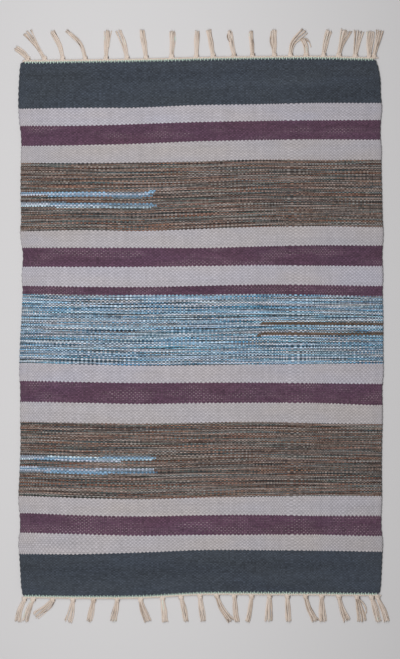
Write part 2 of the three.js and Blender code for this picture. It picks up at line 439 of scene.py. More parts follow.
def put_out(tree, amounts):
    """The finished group, with an output socket for each named amount."""
    for title in amounts:
        tree.interface.new_socket(title, in_out="OUTPUT", socket_type="NodeSocketFloat")
    sink = tree.nodes.new("NodeGroupOutput")
    for title, amount in amounts.items():
        wire(tree, amount, sink.inputs[title])
    return tree


def placed(tree, group, **inputs):
    """A node group placed in a tree with its inputs wired; gives its outputs by name."""
    node = tree.nodes.new("ShaderNodeGroup")
    node.node_tree = group
    for title, value in inputs.items():
        wire(tree, value, node.inputs[title])
    return {output.name: Amount(tree, output) for output in node.outputs}


def mix_colour(tree, factor, first, second, blend="MIX"):
    """One colour mix node; gives its colour."""
    node = tree.nodes.new("ShaderNodeMix")
    node.data_type = "RGBA"
    node.blend_type = blend
    wire(tree, factor, node.inputs["Factor"])
    wire(tree, first, node.inputs[6])
    wire(tree, second, node.inputs[7])
    return node.outputs[2]


def tinted(tree, colour, tint):
    """The product of two colours, channel by channel."""
    return mix_colour(tree, 1.0, colour, tint, "MULTIPLY")


def ramp(tree, factor, stops, interpolation="LINEAR"):
    """One colour ramp node with (place, colour) stops; gives its colour.

    All stops are put in their places before any gets its colour.
    """
    node = tree.nodes.new("ShaderNodeValToRGB")
    node.color_ramp.interpolation = interpolation
    elements = node.color_ramp.elements
    while len(elements) < len(stops):
        elements.new(0.5)
    for element, (place, _) in zip(elements, stops):
        element.position = place
    for element, (_, colour) in zip(elements, stops):
        element.color = colour
    wire(tree, factor, node.inputs["Fac"])
    return node.outputs["Color"]


def noise(tree, place, detail=2.0, scale=1.0, roughness=0.5):
    """Smooth noise at a place, swinging either way of nought by up to one half."""
    node = tree.nodes.new("ShaderNodeTexNoise")
    node.inputs["Scale"].default_value = scale
    node.inputs["Detail"].default_value = detail
    node.inputs["Roughness"].default_value = roughness
    wire(tree, place, node.inputs["Vector"])
    return Amount(tree, node.outputs["Fac"]) - 0.5


def chance(tree, place):
    """An even random number for every place, from minus one half to one half."""
    node = tree.nodes.new("ShaderNodeTexWhiteNoise")
    wire(tree, place, node.inputs["Vector"])
    return Amount(tree, node.outputs["Value"]) - 0.5


def joined(tree, x, y, z):
    """Three numbers as one vector."""
    node = tree.nodes.new("ShaderNodeCombineXYZ")
    for socket, value in zip(node.inputs, (x, y, z)):
        wire(tree, value, socket)
    return node.outputs[0]


def apart(tree, vector):
    """The three numbers of a vector or colour."""
    node = tree.nodes.new("ShaderNodeSeparateXYZ")
    wire(tree, vector, node.inputs[0])
    return [Amount(tree, output) for output in node.outputs]


def map_numbers(tree, name):
    """The two numbers of one of the piece's own UV maps."""
    node = tree.nodes.new("ShaderNodeUVMap")
    node.uv_map = name
    return apart(tree, node.outputs["UV"])[:2]


def paint(tree, shader, colour, lightness):
    """The shader's colour: a colour times a lightness that changes over the surface."""
    grey = joined(tree, lightness, lightness, lightness)
    wire(tree, tinted(tree, colour, grey), shader.inputs["Base Color"])


def raise_relief(tree, shader, height, strength, depth):
    """The shader's normal: a bump of this strength and depth from a height."""
    bump = tree.nodes.new("ShaderNodeBump")
    bump.inputs["Strength"].default_value = strength
    bump.inputs["Distance"].default_value = depth
    wire(tree, height, bump.inputs["Height"])
    wire(tree, bump.outputs["Normal"], shader.inputs["Normal"])


# Loose strands in each weft, how often and over how many warps they turn round each other,
# and how far apart two picks or strands lie in the noise.
STRANDS = 2
STRAND_TURNS = 1.5
STRAND_TURN_WARPS = 60.0
STRAND_LAYER = 77.0
PICK_STEP = 7.31
# How high a bead is half way between its top and its dip, how much higher on top, and how
# sharp the groove between two strands is.
BEAD_LEVEL = 0.7
BEAD_CREST = 0.3
GROOVE_POWER = 4.0


def weft_bead_group():
    """Which pick of weft covers a point of the cloth, its bead's form and its own strands.

    A pick swells where it passes over a warp and thins where it dips under the next, so
    the line between two picks is a cosine of the place across the rug. Height is one
    minus the square of the distance from the pick's middle, higher over the warps. The
    pick's loose strands share its width and slowly turn round each other: Strand numbers
    them all through the cloth, and Groove is a power of the distance from a strand's
    middle.
    """
    tree, warp, pick, swell = new_group("weft_bead", "Warp", "Pick", "Swell")

    def wave(number):
        """One where this pick passes over a warp, and minus one where it passes under."""
        return ((warp + number) * np.pi).cosine()

    below = pick.floor()
    line = wave(below) * swell * 0.5 + 0.5
    number = below + (pick - below > line)
    over = wave(number)
    aside = (pick - number) / (over * swell * 0.5 + 0.5)
    round_off = (1.0 - aside * aside).at_least(0.0)
    height = round_off * (over * BEAD_CREST + BEAD_LEVEL)
    place = joined(tree, warp / STRAND_TURN_WARPS, number * PICK_STEP, STRAND_LAYER)
    turns = (noise(tree, place, detail=1.0) + 0.5) * STRAND_TURNS
    within = ((turns + 1.0) * STRANDS + aside * (STRANDS / 2)) % STRANDS
    strand = within.floor()
    off_middle = (within - strand) * 2.0 - 1.0
    return put_out(tree, {
        "Pick Number": number,
        "Over": over,
        "Height": height,
        "Strand": number * STRANDS + strand,
        "Groove": abs(off_middle) ** GROOVE_POWER,
    })


# The layer in the noise and the spread of each output, the share of the next strand that
# is taken off, and the noise's roughness.
MELANGE_LAYERS = {
    "Tone": (3.7, 2.2),
    "Ply Contrast": (17.2, 2.6),
    "Warmth": (41.2, 4.2),
    "Depth": (63.4, 2.6),
}
NEXT_STRAND_SHARE = 0.7
MELANGE_ROUGHNESS = 0.6


def melange_group():
    """Tone of the strands of a mixed yarn, which changes slowly along each.

    Each output is a noise along the strand less a share of the next strand's, spread out
    about one half, so a strand is seldom like its neighbour. Tone is its lightness, Ply
    Contrast how much darker it is in the dips, partly a dark ply and partly painted shade,
    and Warmth and Depth lean to rust or green and to yellow or blue.
    """
    tree, warp, strand, run = new_group("melange_tone", "Warp", "Strand", "Run")
    along = warp / run
    places = (strand * PICK_STEP, (strand + 1.0) * PICK_STEP)
    amounts = {}
    for title, (layer, spread) in MELANGE_LAYERS.items():
        own, following = (
            noise(tree, joined(tree, along, place, layer), roughness=MELANGE_ROUGHNESS)
            for place in places
        )
        amounts[title] = (own - following * NEXT_STRAND_SHARE) * spread + 0.5
    return put_out(tree, amounts)


# Yarn colours, and the tones that the two mixed yarns run through from dark to light.
PLAIN_YARNS = {
    "teal": linear(62, 69, 79),
    "grey": linear(184, 180, 187),
    "ash": linear(182, 177, 180),
    "purple": linear(89, 62, 81),
    "brown": linear(104, 94, 90),
    "blue": linear(124, 140, 154),
}
BLUE_TONES = [
    (0.0, linear(28, 35, 41)),
    (0.2, linear(55, 77, 93)),
    (0.38, linear(95, 124, 144)),
    (0.52, linear(132, 162, 183)),
    (0.68, linear(160, 186, 205)),
    (0.85, linear(183, 203, 218)),
    (1.0, linear(202, 215, 227)),
]
BROWN_TONES = [
    (0.0, linear(40, 36, 36)),
    (0.25, linear(72, 63, 59)),
    (0.5, linear(105, 94, 88)),
    (0.66, linear(120, 109, 102)),
    (0.82, linear(132, 122, 116)),
    (1.0, linear(150, 141, 136)),
]
# Of each mixed yarn: its tones, the middle and the spread of its tone, how much lighter its
# plies are on top of a bead than in the dip, partly a dark ply showing in the dips and partly
# painted highlight and shade, and how much lighter single beads are than others.
MIXED_YARNS = {
    "blue": (BLUE_TONES, 0.42, 1.25, 0.26, 0.25),
    "brown": (BROWN_TONES, 0.46, 1.5, 0.16, 0.34),
}
MELANGE_RUN = 50.0
LEAST_PLY_CONTRAST = 0.1
COOL_TINT = (0.54, 1.04, 1.25, 1)
WARM_TINT = (1.6, 0.93, 0.7, 1)
BLUE_TINT = (0.99, 0.99, 1.14, 1)
YELLOW_TINT = (1.01, 1.01, 0.88, 1)
# How pale a tone is that begins to lose its tint, and how much of it the palest loses.
TINT_FADES_FROM = 0.4
TINT_FADE = 0.8

# The laid-in yarns: their colour in the dip and on top of a bead. Their tone drifts slowly
# from one to the other, and the place on the bead, as painted light on top and painted shade
# in the dip, and single beads add this much to it.
LAID_IN_YARNS = {
    "sky": (linear(62, 92, 116), linear(144, 178, 206)),
    "pale": (linear(112, 122, 142), linear(204, 210, 224)),
    "frost": (linear(76, 106, 124), linear(206, 223, 233)),
    "steel": (linear(70, 82, 92), linear(132, 142, 154)),
    "umber": (linear(46, 38, 32), linear(122, 102, 88)),
}
LAID_IN_PAINTED_CREST = 0.18
LAID_IN_BEADS = 0.4

# The undyed warp shows as specks in the dips of the purple where it is beaten less closely:
# its colour, the looseness from which it shows, how much the looseness grows from the far
# end to the near one, how fast the specks come up, and their most.
WARP_YARN = linear(186, 168, 172)
WARP_SHOWS_FROM = 0.05
WARP_LOOSENS = 0.13
WARP_SHOWS_RISE = 5.0
WARP_SHOWS_MOST = 0.7

# The plain yarns drift from beige to lavender as one dyeing follows another.
BEIGE_TINT = (1.025, 1.0, 0.96, 1)
LAVENDER_TINT = (0.98, 0.995, 1.04, 1)
DYEING_SPREAD = 2.5

# How each yarn sits: how far its pick swells over a warp, how much lighter the top of a
# bead is painted than the dip beside it, as painted highlight and shade, and how much single
# beads differ. Last, full alpha.
YARN_CHARACTER = {
    "teal": (0.52, 0.04, 0.65, 1),
    "grey": (0.52, 0.03, 0.18, 1),
    "ash": (0.52, 0.03, 0.18, 1),
    "purple": (0.52, 0.07, 0.6, 1),
    "brown": (0.46, 0.05, 0.35, 1),
    "blue": (0.5, 0.05, 0.40, 1),
}

# Slow changes over the cloth: how fast each is across the warps and along the picks, its
# layer in the noise, and its detail. The first, in warp spaces, is how the warps stray.
CLOTH_NOISES = {
    "stray": (0.45, 0.04, 31.0, 1.0),
    "looseness": (0.035, 0.13, 61.0, 3.0),
    "dyeing": (0.025, 0.06, 47.0, 2.0),
    "fibre": (2.0, 9.0, 2.0, 2.0),
    "rib": (0.45, 0.012, 5.0, 2.0),
    "beat": (0.02, 0.6, 11.0, 2.0),
    "dye": (0.008, 0.09, 23.0, 2.0),
}
BEAD_LAYER = 8.0
# How much the fibres, the ribs along the warps, the beating of the picks and the depth of
# the dye change the lightness. The last goes with how much single beads differ.
FIBRE_CHANGE = 0.2
RIB_CHANGE = 0.22
BEAT_CHANGE = 0.2
DYE_CHANGE = 1.2
# Painted shade: how much darker it is between two beads, and in the groove between two strands.
VALLEY_SHADE = 0.45
VALLEY_POWER = 3.0
GROOVE_SHADE = 0.2
# How deep the bump is, and the share of it that fibres raise and grooves lower.
CLOTH_BUMP = 0.8
CLOTH_BUMP_DEPTH = 0.7 * MM
FIBRE_RELIEF = 0.12
GROOVE_RELIEF = 0.15
CLOTH_FINISH = {
    "Roughness": 0.92,
    "Sheen Weight": 0.12,
    "Sheen Roughness": 0.6,
    "Specular IOR Level": 0.25,
}


def cloth_noise(tree, warp, pick, title):
    """One of the slow changes over the cloth: a noise over warp and pick numbers."""
    per_warp, per_pick, layer, detail = CLOTH_NOISES[title]
    return noise(tree, joined(tree, warp * per_warp, pick * per_pick, layer), detail)


def stripe_share(pick):
    """Which stripe a pick lies in: one half and one for each start passed, over them all."""
    number = 0.5
    for start in stripe_starts[1:-1]:
        number = (pick > start - 0.5) + number
    return number / len(STRIPES)


def by_stripe(tree, share, colour_of):
    """The colour of the stripe at this share: a constant ramp with one even step for each."""
    colours = [colour_of(yarn) for yarn, _ in STRIPES]
    stops = [(number / len(colours), colour) for number, colour in enumerate(colours)]
    return ramp(tree, share, stops, "CONSTANT")


def stripe_mask(tree, share, yarn):
    """White in the stripes of this yarn and black in all others."""
    white, black = (1, 1, 1, 1), (0, 0, 0, 1)
    return by_stripe(tree, share, lambda other: white if other == yarn else black)


def laid_in_mask(warp, pick_number, yarn):
    """One where a short run of this yarn lies, by pick number and place along the pick."""
    total = 0.0
    for stripe, pick, run_yarn, start, end in LAID_IN:
        if run_yarn != yarn:
            continue
        on_pick = pick_number.math("COMPARE", stripe_starts[stripe] + pick, 0.5)
        on_warp = warp.math("COMPARE", (start + end) / 2, (end - start) / 2)
        total = (on_pick * on_warp).at_least(total)
    return total


def plain_colour(tree, share, warp, pick_number, over):
    """The dyed colour of the stripe times its drift. In the purple the warp shows through as
    the square of the depth of the dip times how loose the cloth is."""
    dyeing = cloth_noise(tree, warp, pick_number, "dyeing") * DYEING_SPREAD + 0.5
    drift = mix_colour(tree, dyeing, BEIGE_TINT, LAVENDER_TINT)
    dyed = tinted(tree, by_stripe(tree, share, PLAIN_YARNS.get), drift)
    loosened = pick_number * (WARP_LOOSENS / PICKS)
    looseness = cloth_noise(tree, warp, pick_number, "looseness") + loosened
    shows = (looseness - WARP_SHOWS_FROM) * WARP_SHOWS_RISE
    in_dip = (over * -1.0).at_least(0.0) ** 2.0
    specks = in_dip * shows.at_least(0.0).at_most(WARP_SHOWS_MOST)
    return mix_colour(tree, specks * stripe_mask(tree, share, "purple"), dyed, WARP_YARN)


def mixed_colour(tree, yarn, melange, over, own):
    """A mixed yarn's colour: the ramp of its tones at a tone that drifts along the strand,
    times its tint, which the palest tones lose."""
    tones, middle, spread, ply_share, bead_share = MIXED_YARNS[yarn]
    # Lighter on top of a bead and darker in the dip: partly a dark ply, partly painted light and
    # shade.
    ply = over * melange["Ply Contrast"].at_least(LEAST_PLY_CONTRAST)
    tone = (melange["Tone"] - 0.5) * spread + ply * ply_share + own * bead_share + middle
    undyed = ramp(tree, tone, tones)
    warmth = mix_colour(tree, melange["Warmth"], COOL_TINT, WARM_TINT)
    depth = mix_colour(tree, melange["Depth"], YELLOW_TINT, BLUE_TINT)
    dyed = tinted(tree, undyed, tinted(tree, warmth, depth))
    pale = (tone - TINT_FADES_FROM) * (TINT_FADE / (1 - TINT_FADES_FROM))
    return mix_colour(tree, pale.at_least(0.0).at_most(TINT_FADE), dyed, undyed)


def cloth_colour(tree, warp, bead, own):
    """The yarn's colour: plain or mixed by stripe, with the short runs laid in over it."""
    pick_number, over, strand = (bead[title] for title in ("Pick Number", "Over", "Strand"))
    melange = placed(tree, melange_group(), Warp=warp, Strand=strand, Run=MELANGE_RUN)
    share = stripe_share(pick_number)
    colour = plain_colour(tree, share, warp, pick_number, over)
    for yarn in MIXED_YARNS:
        mixed = mixed_colour(tree, yarn, melange, over, own)
        colour = mix_colour(tree, stripe_mask(tree, share, yarn), colour, mixed)
    # The place on the bead paints its top lighter and its dip darker.
    on_top = melange["Tone"] + over * LAID_IN_PAINTED_CREST + own * LAID_IN_BEADS
    for yarn, (dip, top) in LAID_IN_YARNS.items():
        run = laid_in_mask(warp, pick_number, yarn)
        colour = mix_colour(tree, run, colour, mix_colour(tree, on_top, dip, top))
    return colour


def cloth_material():
    """Matt cotton in the yarn's colour, times a lightness that changes slowly and from bead to
    bead, with a painted highlight on each bead's top, times a painted shade between the beads
    and strands, raised bead by bead."""
    material, tree, shader = new_material("striped_cloth", CLOTH_FINISH)
    warp, pick = map_numbers(tree, "weave")
    warp = warp + cloth_noise(tree, warp, pick, "stray")
    character = by_stripe(tree, stripe_share(pick), YARN_CHARACTER.get)
    swell, crest, fleck = apart(tree, character)
    bead = placed(tree, weft_bead_group(), Warp=warp, Pick=pick, Swell=swell)
    own = chance(tree, joined(tree, warp.round(), bead["Strand"], BEAD_LAYER))
    fibre, rib, beat, dye = (
        cloth_noise(tree, warp, pick, title) for title in ("fibre", "rib", "beat", "dye")
    )
    uneven = fibre * FIBRE_CHANGE + rib * RIB_CHANGE + beat * BEAT_CHANGE
    # The crest share paints each bead's top lighter and its dip darker.
    lightness = uneven + bead["Over"] * crest + (own + dye * DYE_CHANGE) * fleck + 1.0
    # Painted shade: darker in the dip between beads and in the groove between strands.
    valley = (1.0 - bead["Height"]) ** VALLEY_POWER
    shade = 1.0 - valley * VALLEY_SHADE - bead["Groove"] * GROOVE_SHADE
    paint(tree, shader, cloth_colour(tree, warp, bead, own), lightness * shade)
    relief = bead["Height"] + fibre * FIBRE_RELIEF - bead["Groove"] * GROOVE_RELIEF
    raise_relief(tree, shader, relief, CLOTH_BUMP, CLOTH_BUMP_DEPTH)
    return material


field = new_object("woven_field", field_mesh("woven_field", np.random.default_rng(11)))
field.data.materials.append(cloth_material())
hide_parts("rug_field")
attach(field, "root")


# The twined edges
# At each woven end two thick undyed cotton threads are twisted round each other across the
# whole width, and the warps pass between them out of the cloth, so the last weft can't slip.

CORD_FROM_CLOTH = 2.45 * MM
CORD_THREAD = 0.95 * MM
CORD_TWIST_RADIUS = 0.85 * MM
CORD_TURN = 12 * MM
CORD_HEIGHT = 1.85 * MM
CORD_STATIONS = 800
CORD_CHART_LENGTHS = 12
CORD_TINTS = np.array([0.40, 0.52])
# Where the twined edge of each end begins and stops across the rug.
CORD_SPANS = {1: (-295 * MM, 286 * MM), -1: (-293 * MM, 292.5 * MM)}
THREAD_SIDES = 6

# Four places of a warp end: how far past the last pick and how high. Then half the width
# that all are spread over, how near the cord's ends none is left, how far they lean and
# are out of line, and how much further in every second one shows.
WARP_END_OUT = np.array([-0.5, 0.6, 1.5, 2.6]) * MM
WARP_END_HEIGHTS = np.array([2.4, 3.2, 2.3, 1.5]) * MM
WARP_END_RADIUS = 0.75 * MM
WARP_END_HALF_WIDTH = 298 * MM
WARP_END_MARGIN = 2 * MM
WARP_END_LEAN = 0.5 * MM
WARP_END_UNEVEN = 0.2 * MM
WARP_END_INWARD = 2.2 * MM
WARP_END_TINTS = (1.0, 1.3)

# In the bake's chart, the first place and the width of a thread's wall in its cell, round
# it and along it. Then the same for the strip of its near cap, how far on that of its far
# cap begins, and where in its strip a cap lies.
WALL_ROUND = (0.05, 0.9)
WALL_ALONG = (0.07, 0.86)
CAP_ALONG = (0.01, 0.04)
FAR_CAP = 0.94
CAP_MIDDLE = 0.5
CAP_RADIUS = 0.4
EDGE_CHART_COLUMNS = 31


def woven_end(side, x):
    """Y of the last weft at places x: side is 1 at the far end and -1 at the near end."""
    return line_across(STRIPE_LINES[0 if side > 0 else -1], x)


def rings(paths, radius, reference, closed):
    """Round threads: at every station of each path a ring of points, at the radius from the
    path, starting from the direction square to the path and to the reference direction."""
    if closed:
        along = np.roll(paths, -1, axis=1) - np.roll(paths, 1, axis=1)
    else:
        along = np.gradient(paths, axis=1)
    along /= np.linalg.norm(along, axis=-1, keepdims=True)
    aside = np.cross(reference, along)
    aside /= np.linalg.norm(aside, axis=-1, keepdims=True)
    upward = np.cross(along, aside)
    turn = 2 * np.pi * np.arange(THREAD_SIDES)[:, None] / THREAD_SIDES
    ring = np.cos(turn) * aside[..., None, :] + np.sin(turn) * upward[..., None, :]
    return paths[..., None, :] + radius * ring


def wall_maps(walls, length, first_cells, chart_lengths):
    """For each corner of a thread's side faces, its turn round the thread, its length along
    it in millimetres, its chart cell and the share of that cell that lies behind it."""
    steps = walls.shape[1]
    step = np.arange(steps)[:, None, None]
    corner = step + np.array([0, 0, 1, 1])
    turn = (np.arange(THREAD_SIDES)[:, None] + np.array([0, 1, 1, 0])) / THREAD_SIDES
    span = steps / chart_lengths
    cell = np.minimum(step // span, chart_lengths - 1)
    place = (corner - cell * span) / span
    maps = (turn, length[:, corner], first_cells[..., None, None] + cell, place)
    return np.stack([np.broadcast_to(numbers, walls.shape).ravel() for numbers in maps])


def cap_maps(length, first_cells, chart_lengths):
    """The same for the end faces: turn, length and cell, which end it is, and its place
    across and up its strip, on a circle round the middle."""
    turn = np.arange(THREAD_SIDES) / THREAD_SIDES
    maps = []
    for order, end, station in ((turn[::-1], 0, 0), (turn, 1, -1)):
        across = CAP_MIDDLE + CAP_RADIUS * np.cos(2 * np.pi * order)
        up = CAP_MIDDLE + CAP_RADIUS * np.sin(2 * np.pi * order)
        cell = first_cells + end * (chart_lengths - 1)
        numbers = (order, length[:, station, None], cell, float(end), across, up)
        maps.append(np.stack(np.broadcast_arrays(*numbers), -1).reshape(-1, 6))
    return np.concatenate(maps).T


def thread_bundle(paths, radius, tints, reference=(0, 0, 1), closed=False, chart_lengths=1):
    """Points, side faces, cap faces and face-corner maps of many equal threads.

    A side face joins neighbouring points of one ring to those of the next, and an open
    thread has a cap at each end. Every thread, or every share of a long one, has a cell of
    its own in the chart.
    """
    count, stations = paths.shape[:2]
    index = np.arange(count * stations * THREAD_SIDES).reshape(count, stations, -1)
    here = index if closed else index[:, :-1]
    ahead = np.roll(index, -1, axis=1) if closed else index[:, 1:]
    walls = np.stack([here, np.roll(here, -1, 2), np.roll(ahead, -1, 2), ahead], -1)
    gaps = np.linalg.norm(np.diff(paths, axis=1, append=paths[:, :1]), axis=-1)
    gaps = gaps[:, :walls.shape[1]]
    length = np.cumsum(np.insert(gaps, 0, 0.0, axis=1), 1) / MM
    first_cells = np.arange(count)[:, None] * chart_lengths
    bundle = {
        "points": rings(paths, radius, reference, closed).reshape(-1, 3),
        "tints": np.repeat(tints, stations * THREAD_SIDES),
        "cells": count * chart_lengths,
        "walls": walls.reshape(-1, 4),
        "wall_maps": wall_maps(walls, length, first_cells, chart_lengths),
    }
    if not closed:
        bundle["caps"] = np.concatenate([index[:, 0, ::-1], index[:, -1]])
        bundle["cap_maps"] = cap_maps(length, first_cells, chart_lengths)
    return bundle


def thread_piece(name, bundles, chart_columns):
    """One object from thread bundles, with its thread map, tint and a chart for the bake.

    The thread map holds the turn round the thread and the length along it. A chart cell
    keeps its middle for the thread's wall and a narrow strip at either end for a cap.
    """
    chart_rows = int(np.ceil(sum(bundle["cells"] for bundle in bundles) / chart_columns))
    faces, thread_map, chart_map = [], [], []
    first_point, first_cell = 0, 0

    def add(new_faces, turn, length, cell, across, up):
        """Add faces and their corners' maps, counted on from the bundles before."""
        faces.extend((new_faces + first_point).tolist())
        thread_map.append(np.stack([turn, length], -1))
        row, column = np.divmod(cell + first_cell, chart_columns)
        chart = ((column + across) / chart_columns, (row + up) / chart_rows)
        chart_map.append(np.stack(chart, -1))

    for bundle in bundles:
        turn, length, cell, place = bundle["wall_maps"]
        across = WALL_ROUND[0] + WALL_ROUND[1] * turn
        add(bundle["walls"], turn, length, cell, across, WALL_ALONG[0] + WALL_ALONG[1] * place)
        if "caps" in bundle:
            turn, length, cell, end, across, up = bundle["cap_maps"]
            up = CAP_ALONG[0] + CAP_ALONG[1] * up + FAR_CAP * end
            add(bundle["caps"], turn, length, cell, across, up)
        first_point += len(bundle["points"])
        first_cell += bundle["cells"]
    mesh = bpy.data.meshes.new(name)
    points = np.concatenate([bundle["points"] for bundle in bundles])
    tints = np.concatenate([bundle["tints"] for bundle in bundles])
    mesh.from_pydata(points.tolist(), [], faces)
    mesh.uv_layers.new(name="thread").data.foreach_set("uv", np.concatenate(thread_map).ravel())
    mesh.uv_layers.new(name="OFBake").data.foreach_set("uv", np.concatenate(chart_map).ravel())
    mesh.attributes.new("tint", "FLOAT", "POINT").data.foreach_set("value", tints)
    mesh.shade_smooth()
    mesh.update()
    return new_object(name, mesh)


def cord_threads(side):
    """Two paths along a woven end, each circling the cord's middle half a turn apart."""
    x = np.linspace(*CORD_SPANS[side], CORD_STATIONS)
    turn = 2 * np.pi * x / CORD_TURN + np.array([[0.0], [np.pi]])
    y = woven_end(side, x) + side * CORD_FROM_CLOTH + CORD_TWIST_RADIUS * np.cos(turn)
    z = CORD_HEIGHT + CORD_TWIST_RADIUS * np.sin(turn)
    return np.stack([np.broadcast_to(x, y.shape), y, z], -1)


def warp_ends(side, rng):
    """Short paths of the warps, sloping from inside the last pick down to the cord. Every
    second one shows further in, because the last pick passes under it."""
    shares = np.arange(0.5, WARPS, 1) / WARPS
    x = (shares - 0.5) * 2 * WARP_END_HALF_WIDTH
    first, last = CORD_SPANS[side]
    x = x[(x > first + WARP_END_MARGIN) & (x < last - WARP_END_MARGIN), None]
    lean = rng.uniform(-WARP_END_LEAN, WARP_END_LEAN, x.shape) * np.linspace(0, 1, 4)
    reach = WARP_END_OUT + rng.uniform(-WARP_END_UNEVEN, WARP_END_UNEVEN, x.shape)
    reach[::2, :2] -= WARP_END_INWARD
    y = woven_end(side, x) + side * reach
    return np.stack([x + lean, y, np.broadcast_to(WARP_END_HEIGHTS, y.shape)], -1)


def thread_twist_group():
    """Two plies twisted together: Height is the cosine of the turn, without its sign, and
    Crease the square of what Height lacks of one, so creases slant round the thread."""
    tree, around, along, turn_length = new_group("thread_twist", "Around", "Along", "Turn")
    turns = along / turn_length + around
    height = abs((turns * (2 * np.pi)).cosine())
    return put_out(tree, {"Crease": (1.0 - height) ** 2.0, "Height": height})


# Undyed cotton, from a dark brown, which gives soiled stains and the painted shade of the
# knots' dark thread ends, through tan and pinkish cream to greenish white. A thread's tint is
# its place in these tones.
COTTON_TONES = [
    (0.0, linear(104, 92, 88)),
    (0.12, linear(176, 158, 144)),
    (0.25, linear(207, 190, 175)),
    (0.45, linear(221, 206, 193)),
    (0.85, linear(226, 211, 200)),
    (1.0, linear(212, 237, 223)),
]
# Millimetres of thread to one turn of its twist.
TWIST_LENGTH = 7.0
# Detail and scale of the stains and of the fibres, and how much each changes the colour.
STAIN_NOISE = (3.0, 90.0)
FIBRE_NOISE = (2.0, 1600.0)
STAIN_CHANGE = 0.6
COTTON_FIBRE_CHANGE = 0.24
# How much painted shade darkens the creases, then the bump's strength, depth and share of fibre.
CREASE_SHADE = 0.28
COTTON_BUMP = 0.7
COTTON_BUMP_DEPTH = 0.3 * MM
COTTON_FIBRE_RELIEF = 0.3
COTTON_FINISH = {
    "Roughness": 0.88,
    "Sheen Weight": 0.15,
    "Sheen Roughness": 0.5,
    "Specular IOR Level": 0.25,
}


def cotton_material():
    """Undyed two-ply cotton: cream to tan, thread by thread, with painted shade in the twist's
    creases.
    """
    material, tree, shader = new_material("undyed_cotton", COTTON_FINISH)
    around, along = map_numbers(tree, "thread")
    twist = placed(tree, thread_twist_group(), Around=around, Along=along, Turn=TWIST_LENGTH)
    attribute = tree.nodes.new("ShaderNodeAttribute")
    attribute.attribute_name = "tint"
    tint = Amount(tree, attribute.outputs["Fac"])
    where = tree.nodes.new("ShaderNodeTexCoord").outputs["Object"]
    fibre = noise(tree, where, *FIBRE_NOISE)
    stain = noise(tree, where, *STAIN_NOISE) * STAIN_CHANGE
    # Painted shade in the creases of the twist.
    shade = (1.0 - twist["Crease"] * CREASE_SHADE) * (fibre * COTTON_FIBRE_CHANGE + 1.0)
    paint(tree, shader, ramp(tree, tint + stain, COTTON_TONES), shade)
    relief = twist["Height"] + fibre * COTTON_FIBRE_RELIEF
    raise_relief(tree, shader, relief, COTTON_BUMP, COTTON_BUMP_DEPTH)
    return material


undyed_cotton = cotton_material()
SIDES = (("far", 1), ("near", -1))
EDGE_SEEDS = {"far": 21, "near": 22}


def fit_fringe_piece(piece, end):
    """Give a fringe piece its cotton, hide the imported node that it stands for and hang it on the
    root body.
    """
    piece.data.materials.append(undyed_cotton)
    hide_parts("fringe_" + end)
    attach(piece, "root")


for end, side in SIDES:
    rng = np.random.default_rng(EDGE_SEEDS[end])
    cord = thread_bundle(cord_threads(side), CORD_THREAD, CORD_TINTS,
                         chart_lengths=CORD_CHART_LENGTHS)
    stubs = warp_ends(side, rng)
    teeth = thread_bundle(stubs, WARP_END_RADIUS, rng.uniform(*WARP_END_TINTS, len(stubs)))
    fit_fringe_piece(thread_piece(f"twined_edge_{end}", [cord, teeth], EDGE_CHART_COLUMNS), end)


# The knots
# The warp ends are drawn together along the edge, about ten to a bunch, and each bunch is
# tied in one overhand knot close against the cord.

KNOT_FROM_CLOTH = 5.95 * MM
KNOT_WRAPS = 5
KNOT_THREAD = 0.85 * MM
KNOT_HALF_WIDTH = 3.7 * MM
KNOT_HALF_HEIGHT = 1.25 * MM
KNOT_MIDDLE_HEIGHT = 2.2 * MM
KNOT_WRAP_SPACING = 1.25 * MM
KNOT_SLANT = 1.7 * MM
KNOT_STATIONS = 12
# How much smaller each wrap is than the one nearer the middle, and how uneven the knots'
# slant and width are.
KNOT_TAPER = 0.12
KNOT_SLANT_SHARES = (0.7, 1.2)
KNOT_WIDTH_SHARES = (0.88, 1.12)
WRAP_TINTS = (0.3, 0.8)

# The drawn warps: how far along the edge they come from and how uneven that is, how far
# from the knot's middle they go in, how far past the cloth and how high they begin, and
# how much further and higher they end.
DRAWN_REACH = np.array([6.5, 5.0, -5.0, -6.5]) * MM
DRAWN_REACH_SHARES = (0.75, 1.2)
DRAWN_STATIONS = 6
DRAWN_RADIUS = 0.75 * MM
DRAWN_ASIDE = 2 * MM
DRAWN_FROM_CLOTH = 2.9 * MM
DRAWN_OUT = 2.4 * MM
DRAWN_OUT_POWER = 2.2
DRAWN_HEIGHT = 1.3 * MM
DRAWN_RISE = 1.5 * MM
DRAWN_TINTS = (0.4, 0.8)

# Dark thread ends that stand for the painted shade at the right of each knot: how far right
# of the knot and past the cloth they begin and how long they are, from least to most. Then
# the share of that length, the lean and the height of three places along them.
TAIL_RIGHT = (2.9 * MM, 3.5 * MM)
TAIL_START = (4.6 * MM, 5.4 * MM)
TAIL_LENGTH = (2.6 * MM, 3.6 * MM)
TAIL_SHARES = np.array([0.0, 0.5, 1.0])
TAIL_LEAN = np.array([0.0, 0.2, 0.5]) * MM
TAIL_HEIGHTS = np.array([2.9, 2.9, 2.2]) * MM
TAIL_RADIUS = 0.9 * MM
SHADE_TAIL_TINTS = (0.0, 0.12)
KNOT_SEEDS = {"far": 31, "near": 32}
KNOT_CHART_COLUMNS = 22

